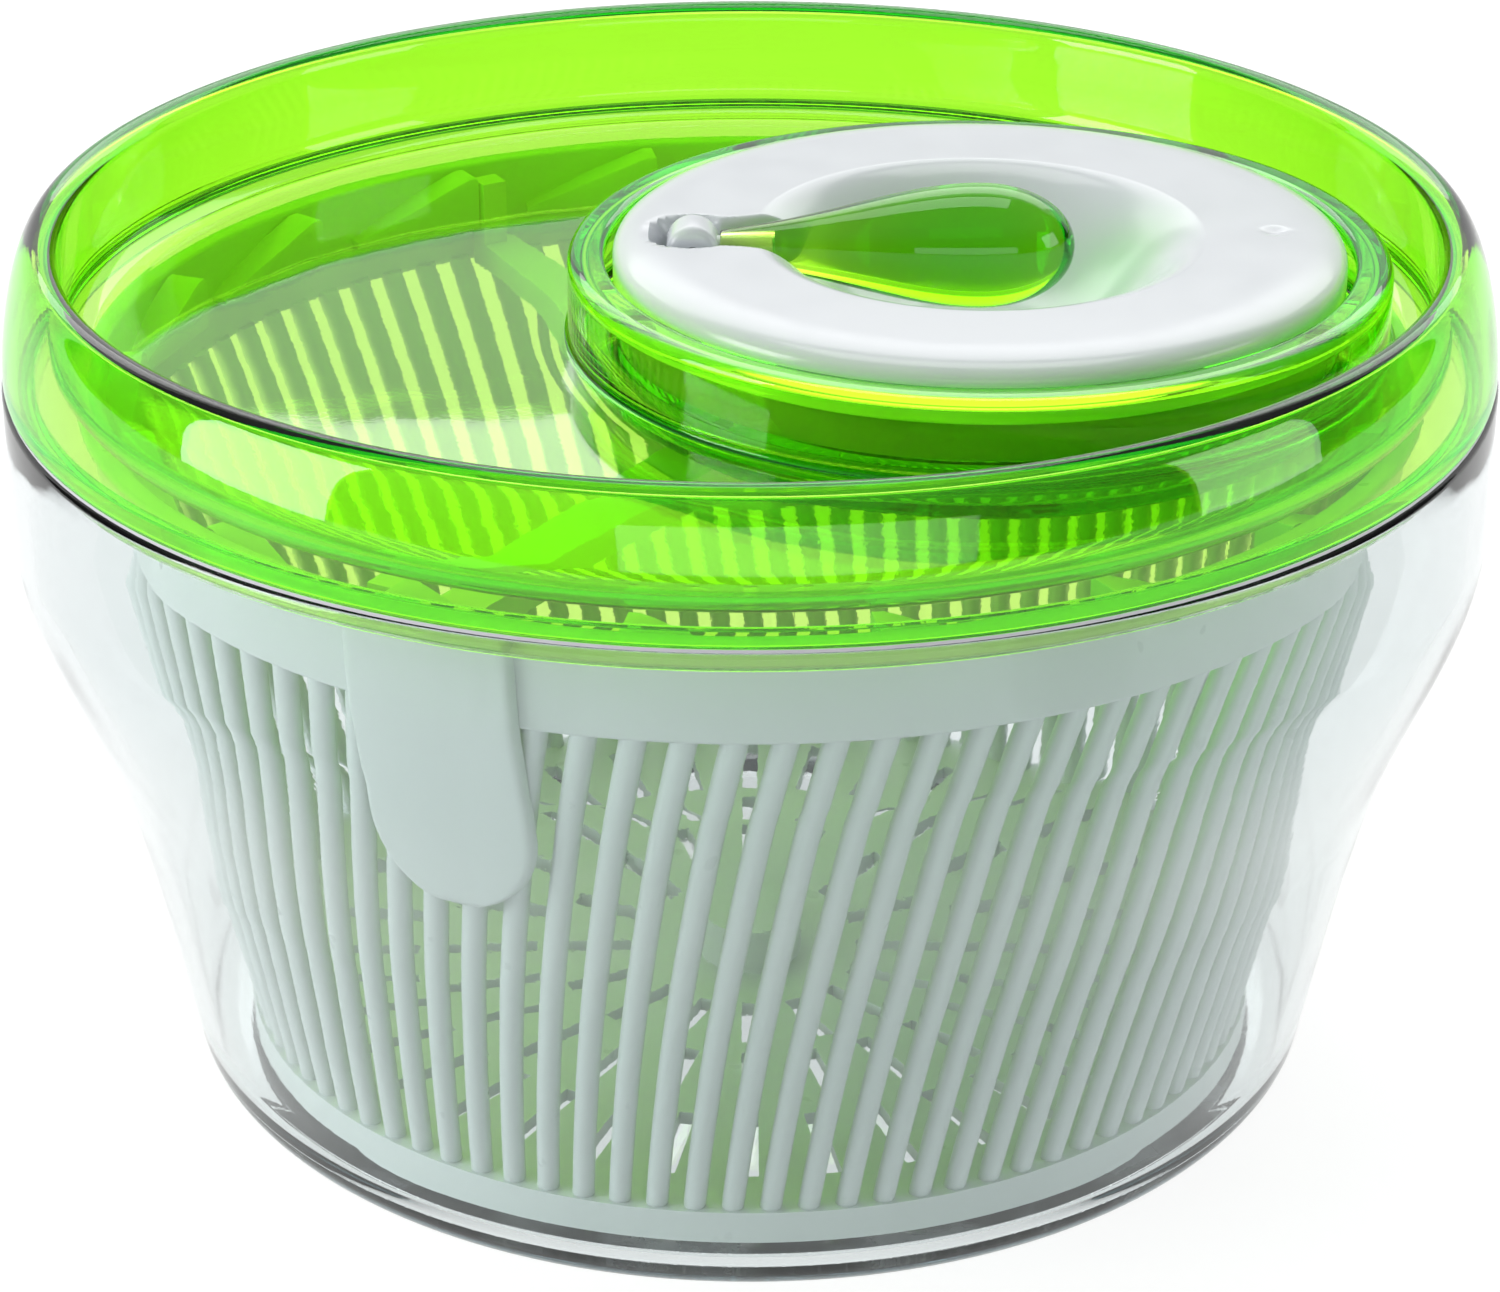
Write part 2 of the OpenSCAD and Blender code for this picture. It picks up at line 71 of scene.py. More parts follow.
rim_r = high("bowl", 0)
rim_z = high("bowl", 2)
seam_z = high("lid_seal", 2)
crest_z = high("lid_shell", 2)
lid_r = high("lid_shell", 0)
disc_r = high("crank_disc", 0) - crank_x
disc_z = high("crank_disc", 2)
knob_end = high("handle_knob", 0) - crank_x
knob_r = high("handle_knob", 1)
neck_x = low("handle_knob", 0) - crank_x
neck_r, bulb_x = 2.7, 0.0
basket_top_z = high("basket_rim", 2)
lip_r = high("basket_rim", 0)
slat_foot_z = low("basket_slats", 2) + 0.5
slat_top_z = high("basket_slats", 2) - 0.5
grip_foot_z = low("basket_grips", 2)

# ---------------------------------------------------------------- outline tools


def curve(a, b, c, d, n):
    """n + 1 points along a cubic curve from a to d, pulled towards b and c."""
    points = []
    for i in range(n + 1):
        t = i / n
        w = ((1 - t) ** 3, 3 * (1 - t) ** 2 * t, 3 * (1 - t) * t * t, t ** 3)
        points.append(tuple(w[0] * a[k] + w[1] * b[k] + w[2] * c[k] + w[3] * d[k] for k in (0, 1)))
    return points


def arc(centre, r, start, end, n):
    """n + 1 points along an arc, with its angles in degrees."""
    angles = [math.radians(start + (end - start) * i / n) for i in range(n + 1)]
    return [(centre[0] + r * math.cos(a), centre[1] + r * math.sin(a)) for a in angles]


def beside(points, d):
    """The open outline moved sideways by d, to the right of its direction."""
    moved = []
    for i, p in enumerate(points):
        a = points[max(i - 1, 0)]
        b = points[min(i + 1, len(points) - 1)]
        length = math.hypot(b[0] - a[0], b[1] - a[1]) or 1
        moved.append((p[0] + d * (b[1] - a[1]) / length, p[1] - d * (b[0] - a[0]) / length))
    return moved


def smooth(t):
    """0 below 0, 1 above 1, with an easy start and end."""
    t = min(max(t, 0.0), 1.0)
    return t * t * (3 - 2 * t)


def blend_min(a, b, k):
    """The smaller of a and b, rounded over where they come within k."""
    h = max(k - abs(a - b), 0.0) / k
    return min(a, b) - h * h * k / 4


# ---------------------------------------------------------------- mesh tools


def make_piece(name, verts, faces, sharp=35):
    """A smooth-shaded object from points in millimetres, with outward normals."""
    mesh = bpy.data.meshes.new(name)
    mesh.from_pydata([Vector(v) * MM for v in verts], [], faces)
    piece = bpy.data.objects.new(name, mesh)
    bpy.context.scene.collection.objects.link(piece)
    finish_mesh(piece, sharp)
    return piece


def finish_mesh(piece, sharp=35):
    """Joins doubled points, turns the normals outward and shades smooth."""
    bm = bmesh.new()
    bm.from_mesh(piece.data)
    bmesh.ops.remove_doubles(bm, verts=bm.verts, dist=1e-7)
    bmesh.ops.recalc_face_normals(bm, faces=bm.faces)
    bm.to_mesh(piece.data)
    bm.free()
    for face in piece.data.polygons:
        face.use_smooth = True
    piece.data.set_sharp_from_angle(angle=math.radians(sharp))


def ring_shell(rings, segments=SEGMENTS, closed=False):
    """Points and faces through rings (centre x, radius, z). A ring of radius 0 is one point."""
    verts, faces, starts = [], [], []
    for cx, r, z in rings:
        starts.append((len(verts), r > 0))
        if r <= 0:
            verts.append((cx, 0, z))
            continue
        for s in range(segments):
            a = 2 * math.pi * s / segments
            verts.append((cx + r * math.cos(a), r * math.sin(a), z))
    pairs = list(zip(starts, starts[1:]))
    if closed:
        pairs.append((starts[-1], starts[0]))
    for (a, a_round), (b, b_round) in pairs:
        for s in range(segments):
            t = (s + 1) % segments
            if a_round and b_round:
                faces.append((a + s, a + t, b + t, b + s))
            elif a_round:
                faces.append((a + s, a + t, b))
            elif b_round:
                faces.append((a, b + t, b + s))
    return verts, faces


def lathe(name, outline, cx=0.0, segments=SEGMENTS, closed=False, sharp=35):
    """A piece turned about the vertical line through (cx, 0) from points (radius, z)."""
    verts, faces = ring_shell([(cx, r, z) for r, z in outline], segments, closed)
    return make_piece(name, verts, faces, sharp)


def join(verts, faces, more_verts, more_faces):
    """Adds one set of points and faces to another."""
    shift = len(verts)
    verts.extend(more_verts)
    faces.extend(tuple(i + shift for i in f) for f in more_faces)


def cut(piece, tool, operation):
    """Applies a boolean with a tool, and removes the tool."""
    step = piece.modifiers.new(operation, "BOOLEAN")
    step.operation = operation
    step.solver = "EXACT"
    step.object = tool
    bpy.context.view_layer.update()
    result = bpy.data.meshes.new_from_object(piece.evaluated_get(bpy.context.evaluated_depsgraph_get()))
    piece.modifiers.clear()
    piece.data = result
    bpy.data.objects.remove(tool)
    finish_mesh(piece)


def settle(piece, body, slot, material, *replaced):
    """Gives a piece its material, its body and the CAD nodes that it stands for."""
    piece.data.materials.clear()
    piece.data.materials.append(material)
    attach(piece, body)
    if replaced:
        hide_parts(*replaced)


# ---------------------------------------------------------------- materials


class Surface:
    """A node material round one Principled shader, with object-space textures."""

    def __init__(self, name, **sockets):
        self.material = bpy.data.materials.new(name)
        self.material.use_nodes = True
        self.tree = self.material.node_tree
        self.shader = self.tree.nodes["Principled BSDF"]
        self.output = self.tree.nodes["Material Output"]
        self.place = self.tree.nodes.new("ShaderNodeTexCoord").outputs["Object"]
        for key, value in sockets.items():
            self.shader.inputs[key.replace("_", " ")].default_value = value

    def link(self, a, b):
        self.tree.links.new(a, b)

    def noise(self, scale, detail=3.0, stretch=(1, 1, 1)):
        """A noise value from 0 to 1, with its scale in features per metre."""
        mapping = self.tree.nodes.new("ShaderNodeMapping")
        mapping.inputs["Scale"].default_value = stretch
        texture = self.tree.nodes.new("ShaderNodeTexNoise")
        texture.inputs["Scale"].default_value = scale
        texture.inputs["Detail"].default_value = detail
        self.link(self.place, mapping.inputs["Vector"])
        self.link(mapping.outputs["Vector"], texture.inputs["Vector"])
        return texture.outputs["Fac"]

    def span(self, value, low_value, high_value, start=0.3, end=0.7):
        """Maps a value between start and end to another range."""
        node = self.tree.nodes.new("ShaderNodeMapRange")
        node.inputs["From Min"].default_value = start
        node.inputs["From Max"].default_value = end
        node.inputs["To Min"].default_value = low_value
        node.inputs["To Max"].default_value = high_value
        self.link(value, node.inputs["Value"])
        return node.outputs["Result"]

    def colours(self, value, first, second):
        """Mixes two colours by a value."""
        node = self.tree.nodes.new("ShaderNodeMix")
        node.data_type = "RGBA"
        node.inputs["A"].default_value = (*first, 1)
        node.inputs["B"].default_value = (*second, 1)
        self.link(value, node.inputs["Factor"])
        return node.outputs["Result"]

    def bump(self, value, strength, distance, normal=None):
        """Relief from a value, on top of any other relief."""
        node = self.tree.nodes.new("ShaderNodeBump")
        node.inputs["Strength"].default_value = strength
        node.inputs["Distance"].default_value = distance
        self.link(value, node.inputs["Height"])
        if normal is not None:
            self.link(normal, node.inputs["Normal"])
        return node.outputs["Normal"]

    def edges(self, radius):
        """0 on open faces, rising towards 1 where the surface turns within the radius."""
        bevel = self.tree.nodes.new("ShaderNodeBevel")
        bevel.samples = 4
        bevel.inputs["Radius"].default_value = radius
        geometry = self.tree.nodes.new("ShaderNodeNewGeometry")
        dot = self.tree.nodes.new("ShaderNodeVectorMath")
        dot.operation = "DOT_PRODUCT"
        self.link(bevel.outputs["Normal"], dot.inputs[0])
        self.link(geometry.outputs["Normal"], dot.inputs[1])
        return self.span(dot.outputs["Value"], 1.0, 0.0, 0.8, 0.99)


def clear_plastic(name, tint, absorb, density, wave, rough):
    """Transparent moulded plastic: tinted by depth, with faint waves and handling marks."""
    s = Surface(name, Base_Color=(*tint, 1), IOR=1.49, Transmission_Weight=1.0)
    s.link(s.span(s.noise(60, 4), rough, rough * 4, 0.45, 0.75), s.shader.inputs["Roughness"])
    waves = s.bump(s.noise(wave, 2), 0.25, 0.0004)
    s.link(s.bump(s.noise(900, 2), 0.05, 0.00004, waves), s.shader.inputs["Normal"])
    volume = s.tree.nodes.new("ShaderNodeVolumeAbsorption")
    volume.inputs["Color"].default_value = (*absorb, 1)
    volume.inputs["Density"].default_value = density
    s.link(volume.outputs["Volume"], s.output.inputs["Volume"])
    through = s.tree.nodes.new("ShaderNodeBsdfTransparent")
    through.inputs["Color"].default_value = (*tint, 1)
    ray = s.tree.nodes.new("ShaderNodeLightPath")
    mix = s.tree.nodes.new("ShaderNodeMixShader")
    s.link(ray.outputs["Is Shadow Ray"], mix.inputs[0])
    s.link(s.shader.outputs["BSDF"], mix.inputs[1])
    s.link(through.outputs["BSDF"], mix.inputs[2])
    s.link(mix.outputs["Shader"], s.output.inputs["Surface"])
    return s.material


def moulded_plastic(name, colour, rough, grain, soft=0.0):
    """Opaque moulded plastic: slight colour drift, satin grain and rubbed edges."""
    s = Surface(name, Specular_IOR_Level=0.5)
    s.shader.inputs["Subsurface Weight"].default_value = soft
    s.shader.inputs["Subsurface Radius"].default_value = (0.004, 0.004, 0.004)
    darker = tuple(c * 0.94 for c in colour)
    lighter = tuple(min(c * 1.05, 0.97) for c in colour)
    drift = s.colours(s.noise(14, 3), darker, colour)
    worn = s.tree.nodes.new("ShaderNodeMix")
    worn.data_type = "RGBA"
    worn.inputs["B"].default_value = (*lighter, 1)
    s.link(s.edges(0.0008), worn.inputs["Factor"])
    s.link(drift, worn.inputs["A"])
    s.link(worn.outputs["Result"], s.shader.inputs["Base Color"])
    s.link(s.span(s.noise(120, 5), rough * 0.8, rough * 1.35), s.shader.inputs["Roughness"])
    fine = s.bump(s.noise(1800, 2), 0.12 * grain, 0.00006)
    s.link(s.bump(s.noise(45, 2), 0.1 * grain, 0.0003, fine), s.shader.inputs["Normal"])
    return s.material


def turned_steel(name):
    """Bright steel with fine turning lines round the axis."""
    s = Surface(name, Metallic=1.0)
    tone = s.colours(s.noise(90, 4), (0.52, 0.53, 0.55), (0.68, 0.69, 0.70))
    s.link(tone, s.shader.inputs["Base Color"])
    lines = s.noise(1500, 2, (0.1, 0.1, 1.0))
    s.link(s.span(lines, 0.18, 0.38), s.shader.inputs["Roughness"])
    s.link(s.bump(lines, 0.15, 0.00005), s.shader.inputs["Normal"])
    return s.material


def soft_rubber(name, colour):
    """Matt elastomer with a fine pitted skin."""
    s = Surface(name, Sheen_Weight=0.15)
    tone = s.colours(s.noise(200, 4), tuple(c * 0.85 for c in colour), colour)
    s.link(tone, s.shader.inputs["Base Color"])
    s.link(s.span(s.noise(400, 3), 0.5, 0.75), s.shader.inputs["Roughness"])
    s.link(s.bump(s.noise(2200, 2), 0.2, 0.00005), s.shader.inputs["Normal"])
    return s.material


def studio_floor(name):
    """A pale, matt paper floor."""
    s = Surface(name, Roughness=0.9, Emission_Color=(1, 1, 1, 1), Emission_Strength=0.86)
    s.link(s.colours(s.noise(3, 4), (0.21, 0.21, 0.21), (0.23, 0.23, 0.23)), s.shader.inputs["Base Color"])
    s.link(s.bump(s.noise(500, 2), 0.03, 0.0002), s.shader.inputs["Normal"])
    return s.material


clear = clear_plastic("clear_bowl_plastic", (0.875, 0.90, 0.90), (0.30, 0.46, 0.50), 16, 22, 0.008)
green = clear_plastic("green_lid_plastic", (0.95, 1.0, 0.85), (0.74, 0.985, 0.02), 640, 26, 0.008)
green_solid = clear_plastic("green_knob_plastic", (0.92, 1.0, 0.75), (0.75, 0.965, 0.02), 330, 30, 0.006)
white = moulded_plastic("disc_white_plastic", (0.70, 0.735, 0.765), 0.16, 0.6)
basket_white = moulded_plastic("basket_white_plastic", (0.57, 0.635, 0.62), 0.34, 1.0, 0.08)
gear_grey = moulded_plastic("gear_grey_plastic", (0.26, 0.27, 0.27), 0.38, 1.2)
acetal = moulded_plastic("acetal_plastic", (0.70, 0.69, 0.64), 0.38, 1.2)
steel = turned_steel("turned_steel")
frosted = clear_plastic("non_slip_elastomer", (0.95, 0.96, 0.96), (0.60, 0.66, 0.68), 20, 90, 0.12)
rubber = soft_rubber("seal_rubber", (0.62, 0.60, 0.66))

# ---------------------------------------------------------------- bowl


def build_bowl():
    """Clear bowl: rounded foot, waist, soft shoulder and a straight, rounded rim."""
    wall, floor_z, foot_z, corner = 3.0, 5.0, 0.6, 8.0
    foot_r, lean, slope = 95.8, 11.0, 0.28
    shoulder_z, waist_r, waist_z = 106.0, 115.0, 59.0
    foot = arc((foot_r, foot_z + corner), corner, -90, -lean, 10)
    end = foot[-1]
    lean_dr = math.tan(math.radians(lean))
    lower = curve((end[0] + 0.5, end[1] + 2.5), (end[0] + 16 * lean_dr, end[1] + 16),
                  (waist_r - 16 * slope, waist_z - 16), (waist_r, waist_z), 16)
    upper = curve((waist_r, waist_z), (waist_r + 18 * slope, waist_z + 18),
                  (rim_r, shoulder_z - 13), (rim_r, shoulder_z), 26)
    outside = foot + lower + upper[1:] + [(rim_r, 115), (rim_r, 124), (rim_r, rim_z - 1.2)]
    inside = [p for p in beside(outside, -wall) if p[1] > floor_z + 6]
    lip = arc((rim_r - 1.2, rim_z - 1.2), 1.2, 0, 90, 5)[1:]
    lip += arc((rim_r - wall + 1.0, rim_z - 1.0), 1.0, 90, 180, 4)
    inner_corner = arc((inside[0][0] - 6, floor_z + 6), 6, -12, -90, 8)
    ring_in, ring_out, groove_z = low_radius("non_slip_ring"), high("non_slip_ring", 0), high("non_slip_ring", 2)
    boss_r, boss_z = 8.0, 9.0
    outline = [(0, foot_z + 1.2), (60, foot_z + 1.0), (78, foot_z), (ring_in - 0.3, foot_z),
               (ring_in, foot_z + 0.3), (ring_in, groove_z), (ring_out, groove_z),
               (ring_out, foot_z + 0.3), (ring_out + 0.3, foot_z)]
    outline += outside + lip + inside[::-1] + inner_corner
    outline += [(40, floor_z), (boss_r + 2, floor_z)] + arc((boss_r + 2, floor_z + 2), 2, -90, -180, 4)[1:]
    outline += [(boss_r, boss_z - 0.5), (boss_r - 0.5, boss_z), (3.0, boss_z), (3.0, boss_z - 5.9), (0, boss_z - 5.9)]
    bowl = lathe("bowl_clear", outline)
    settle(bowl, "bowl", "clear_bowl", clear, "bowl")


def low_radius(node):
    """Inner radius of a ring-shaped CAD node, in millimetres."""
    mesh = frame["nodes"][node].data
    return min(math.hypot(v.co.x, v.co.y) for v in mesh.vertices) / MM


# ---------------------------------------------------------------- lid


def build_lid():
    """Green lid: a crest that turns over the bowl's rim, a sunk plate and a drum off centre.

    Its rings slide from the drum's centre to the lid's, so plate and drum are one surface.
    """
    wall, plate_z, crest_r, corner, fillet = 2.4, 135.5, 123.0, 3.3, 6.5
    drum_r, drum_z, edge, lip_in = 72.0, 150.0, 2.0, 65.5
    pan_r, pan_low, pan_high, foot = 64.2, 124.5, 126.5, 1.1
    wall_in, pan_in, shelf_z = drum_r - wall, pan_r - wall, plate_z - wall
    skirt_in, skirt_out, skirt_z = 124.8, 126.8, low("lid_shell", 2)
    skirt_z = max(skirt_z, 128.5)

    cavity = [(0, pan_high), (30, pan_high), (pan_in - 1, pan_high)]
    cavity += arc((pan_in - 1, pan_high + 1), 1, -90, 0, 3)[1:]
    cavity += [(pan_in, plate_z - 0.6)] + arc((pan_in + 0.6, plate_z - 0.6), 0.6, 180, 90, 3)[1:]
    cavity += arc((wall_in - 1.5, plate_z + 1.5), 1.5, -90, 0, 4)
    cavity += arc((wall_in - 1.5, drum_z - wall - 1.5), 1.5, 0, 90, 4)
    cavity += arc((lip_in + 0.6, drum_z - wall + 0.6), 0.6, 270, 180, 3)
    cavity += arc((lip_in + 1.0, drum_z - 1.0), 1.0, 180, 90, 4)
    cavity += arc((drum_r - edge, drum_z - edge), edge, 90, 0, 8)
    cavity += [(drum_r, 143)] + arc((drum_r + foot, plate_z + foot), foot, 180, 270, 6)
    rings = [(crank_x, r, z) for r, z in cavity]

    plate_r = crest_r - corner - fillet
    steps = 14
    for i in range(1, steps):
        t = i / steps
        rings.append((crank_x * (1 - t), (drum_r + foot) * (1 - t) + plate_r * t, plate_z))

    over = arc((plate_r, plate_z + fillet), fillet, -90, 0, 10)
    over += [(crest_r - corner, 147)]
    over += arc((crest_r, crest_z - corner), corner, 180, 95, 8)
    over += curve((crest_r, crest_z), (127.3, crest_z), (lid_r, seam_z + 7.5), (lid_r, seam_z + 1), 22)
    over += arc((lid_r - 0.6, seam_z + 0.6), 0.6, 0, -90, 3)
    rings += [(0, r, z) for r, z in over]

    hidden = [p for p in beside(over, wall) if p[1] > seam_z + 2.6 or p[0] < skirt_in]
    below = [(skirt_out + 0.4, seam_z), (skirt_out, seam_z - 0.4), (skirt_out, skirt_z + 0.6)]
    below += arc(((skirt_in + skirt_out) / 2, skirt_z + 1), 1, 0, -180, 6)
    below += [(skirt_in, seam_z + 1.4), (skirt_in + 0.6, seam_z + 2), (lid_r - wall - 0.8, seam_z + 2)]
    rings += [(0, r, z) for r, z in below + hidden[::-1]]

    last_r = hidden[0][0]
    for i in range(1, steps):
        t = i / steps
        rings.append((crank_x * t, last_r * (1 - t) + (pan_r + 0.8) * t, shelf_z))
    pan = arc((pan_r + 0.8, shelf_z - 0.8), 0.8, 90, 180, 3)
    pan += [(pan_r, pan_low + 1.2)] + arc((pan_r - 1.2, pan_low + 1.2), 1.2, 0, -90, 4)[1:]
    pan += [(30, pan_low), (0, pan_low)]
    rings += [(crank_x, r, z) for r, z in pan]
    verts, faces = ring_shell(rings)
    lid = make_piece("lid_green", verts, faces)

    hub_low, hub_high = low("hub_bush", 2), high("hub_bush", 2) - 0.8
    bush_low = low("shaft_bush", 2)
    collars = (
        (crank_x, 10.0, [hub_low, hub_high], 6.52),
        (0.0, 11.0, [bush_low, pan_low + 1], 8.02),
    )
    for cx, r, (z0, z1), bore in collars:
        collar = lathe("collar", [(0, z0), (r - 0.4, z0), (r, z0 + 0.4), (r, z1 - 0.4), (r - 0.4, z1), (0, z1)], cx, 64)
        cut(lid, collar, "UNION")
        hole = lathe("hole", [(0, 100), (bore, 100), (bore, 145), (0, 145)], cx, 64)
        cut(lid, hole, "DIFFERENCE")
    settle(lid, "lid", "green_clear", green, "lid_shell")


# ---------------------------------------------------------------- crank disc and knob


def knob_outline():
    """Half outline of the drop, from the neck to the round end, as (x, radius) from the crank axis."""
    neck = curve((neck_x, neck_r), (-26, 5), (-14, knob_r), (bulb_x, knob_r), 26)
    end = curve((bulb_x, knob_r), (9.5, knob_r), (knob_end, 6.5), (knob_end, 0), 22)
    return neck + end[1:]


def outline_radius(points, x):
    """Radius of the drop at x, or 0 beyond its ends."""
    for a, b in zip(points, points[1:]):
        if a[0] <= x <= b[0]:
            return a[1] + (b[1] - a[1]) * (x - a[0]) / max(b[0] - a[0], 1e-9)
    return 0.0


def build_disc():
    """White disc: rounded edge, a round finger hollow and a soft channel to the hinge."""
    floor_z, floor_r, hollow_r, land_r = 135.2, 12.0, 39.0, 54.0
    skirt_z, wall, recess_r, channel_z = low("ring_gear", 2) + 15, 2.3, 6.6, 143.0
    dimple_x, dimple_r, dimple_depth = 51.5, 3.0, 0.5
    spin = hinge_x - crank_x
    drop = knob_outline()
    bowl_line = curve((floor_r, floor_z), (26, floor_z + 0.8), (hollow_r - 8, disc_z - 1.5), (hollow_r, disc_z - 0.05), 60)

    def hollow_height(r):
        if r <= floor_r:
            return floor_z
        if r >= hollow_r:
            return disc_z
        for a, b in zip(bowl_line, bowl_line[1:]):
            if a[0] <= r <= b[0]:
                return a[1] + (b[1] - a[1]) * (r - a[0]) / max(b[0] - a[0], 1e-9)
        return disc_z

    def top(x, y):
        """Height of the disc's top at a place measured from the crank axis."""
        height = hollow_height(math.hypot(x, y))
        out = math.hypot(x - spin, y) - recess_r + 1.2
        if x > spin:
            out = min(out, abs(y) - outline_radius(drop, max(x, neck_x)) - 1.2)
        spread = 3.4 + 9 * smooth((x + 42) / 26)
        rise = smooth(out / spread)
        if x < -8 and rise < 1:
            channel = channel_z + (disc_z - channel_z) * rise
            height = blend_min(height, channel, 2.5 * (1 - rise) + 0.01)
        dimple = math.hypot(x - dimple_x, y) / dimple_r
        return height - dimple_depth * (1 - smooth(dimple))

    segments, pitch = 720, 0.4
    edge = curve((land_r, disc_z), (disc_r - 3.5, disc_z), (disc_r, disc_z - 0.6), (disc_r, disc_z - 3.7), 14)
    edge += [(disc_r, skirt_z + 0.6)] + arc((disc_r - 0.6, skirt_z + 0.6), 0.6, 0, -90, 3)[1:]
    inner = [(disc_r - wall, skirt_z), (disc_r - wall, disc_z - 5)]
    inner += arc((disc_r - wall - 3, disc_z - wall - 3), 3, 20, 90, 4)
    radii = [pitch * i for i in range(int(land_r / pitch) + 1)]
    rows = [[(crank_x, 0, top(0, 0))]]
    for r in radii[1:]:
        row = []
        for s in range(segments):
            a = 2 * math.pi * s / segments
            x, y = r * math.cos(a), r * math.sin(a)
            row.append((crank_x + x, y, top(x, y)))
        rows.append(row)
    lathed = edge[1:] + inner
    for r, z in lathed:
        row = []
        for s in range(segments):
            a = 2 * math.pi * s / segments
            x, y = r * math.cos(a), r * math.sin(a)
            dip = (disc_z - top(x, y)) * (1 - smooth((r - land_r) / 5))
            row.append((crank_x + x, y, z - dip))
        rows.append(row)
    for row in rows[len(radii) - 1:0:-4]:
        rows.append([(x, y, z - wall) for x, y, z in row])
    rows.append([(crank_x, 0, rows[0][0][2] - wall)])
    verts, faces = [], []
    starts = []
    for row in rows:
        starts.append((len(verts), len(row)))
        verts += row
    for (a, na), (b, nb) in zip(starts, starts[1:]):
        for s in range(segments):
            t = (s + 1) % segments
            if na > 1 and nb > 1:
                faces.append((a + s, a + t, b + t, b + s))
            elif nb > 1:
                faces.append((a, b + t, b + s))
            else:
                faces.append((a + s, a + t, b))
    hub_r, hub_low = 5.0, low("crank_washer", 2) + 1.0
    shoulder_z = high("hub_bush", 2) + 0.1
    hub = [(0, hub_low), (hub_r - 0.3, hub_low), (hub_r, hub_low + 0.3), (hub_r, shoulder_z), (8.2, shoulder_z),
           (8.5, shoulder_z + 0.3), (8.5, floor_z - 1.5), (0, floor_z - 1.5)]
    join(verts, faces, *ring_shell([(crank_x, r, z) for r, z in hub], 64))
    for k in range(4):
        a = math.radians(45 + 90 * k)
        post, post_faces = ring_shell([(0, 0, skirt_z), (0, 2.1, skirt_z), (0, 2.4, skirt_z + 0.3), (0, 2.4, disc_z - 1.5),
                                       (0, 0, disc_z - 1.5)], 24)
        post = [(x + crank_x + 56.6 * math.cos(a), y + 56.6 * math.sin(a), z) for x, y, z in post]
        join(verts, faces, post, post_faces)
    disc = make_piece("crank_disc_white", verts, faces, 40)
    settle(disc, "crank", "disc_white", white, "crank_disc")


def along_x(verts, x0):
    """Turns points about the Z axis into points about the knob's own axis."""
    return [(x0 + z, y, knob_z - x) for x, y, z in verts]


def build_knob():
    """Green drop with a blind bore for its stem, and the white barrel that it folds on."""
    stem_r = high("knob_stem", 1)
    bore_end = high("knob_stem", 0) - crank_x + 0.5
    outline = [(0, bore_end), (stem_r + 0.05, bore_end), (stem_r + 0.05, neck_x)]
    outline += arc((neck_r - 0.4, neck_x + 0.4), 0.4, -90, 0, 3)
    outline += [(r, x) for x, r in knob_outline() if x > neck_x + 0.6 and r > 0]
    outline += [(0, knob_end)]
    verts, faces = ring_shell([(0, r, x) for r, x in outline], 160)
    knob = make_piece("knob_green", along_x(verts, crank_x), faces)
    settle(knob, "knob", "green_clear", green_solid, "handle_knob")

    barrel_r = high("hinge_barrel", 2) - knob_z
    half = high("hinge_barrel", 1)
    bore = 1.3
    side = arc((barrel_r - 1.6, half - 1.6), 1.6, 0, 90, 8)
    ring = side + [(bore, half), (bore, -half)] + [(r, -w) for r, w in side[::-1]]
    verts, faces = ring_shell([(0, r, w) for r, w in ring], 96, closed=True)
    barrel = make_piece("hinge_barrel_white", [(hinge_x + x, z, knob_z + y) for x, y, z in verts], faces)
    settle(barrel, "hinge", "disc_white", white, "hinge_barrel")


# ---------------------------------------------------------------- basket

slat_count, slat_lead = 90, 9.0
slat_foot_r, slat_top_r = 90.6, 112.7


def slat_radius(z):
    return slat_foot_r + (slat_top_r - slat_foot_r) * (z - slat_foot_z) / (slat_top_z - slat_foot_z)


def build_slats():
    """Leaning slats with a rounded section that thickens upward and a lean that grows."""
    rows, sides = 26, 12
    verts, faces = [], []
    for k in range(slat_count):
        start = len(verts)
        for i in range(rows + 1):
            t = i / rows
            z = slat_foot_z + (slat_top_z - slat_foot_z) * t
            a = math.radians(360 * k / slat_count + slat_lead * (0.72 * t + 0.28 * t * t))
            r = slat_radius(z)
            wide, deep = 1.9 + 0.4 * t, 1.8 + 0.15 * t
            for j in range(sides):
                b = 2 * math.pi * j / sides
                out, side = deep * math.cos(b), wide * math.sin(b)
                verts.append(((r + out) * math.cos(a) - side * math.sin(a),
                              (r + out) * math.sin(a) + side * math.cos(a), z))
        for i in range(rows):
            for j in range(sides):
                n = (j + 1) % sides
                a0, b0 = start + i * sides, start + (i + 1) * sides
                faces.append((a0 + j, a0 + n, b0 + n, b0 + j))
        faces.append(tuple(start + j for j in range(sides)))
        faces.append(tuple(start + rows * sides + j for j in range(sides)))
    slats = make_piece("basket_slats_white", verts, faces, 60)
    settle(slats, "basket", "basket_white", basket_white, "basket_slats")


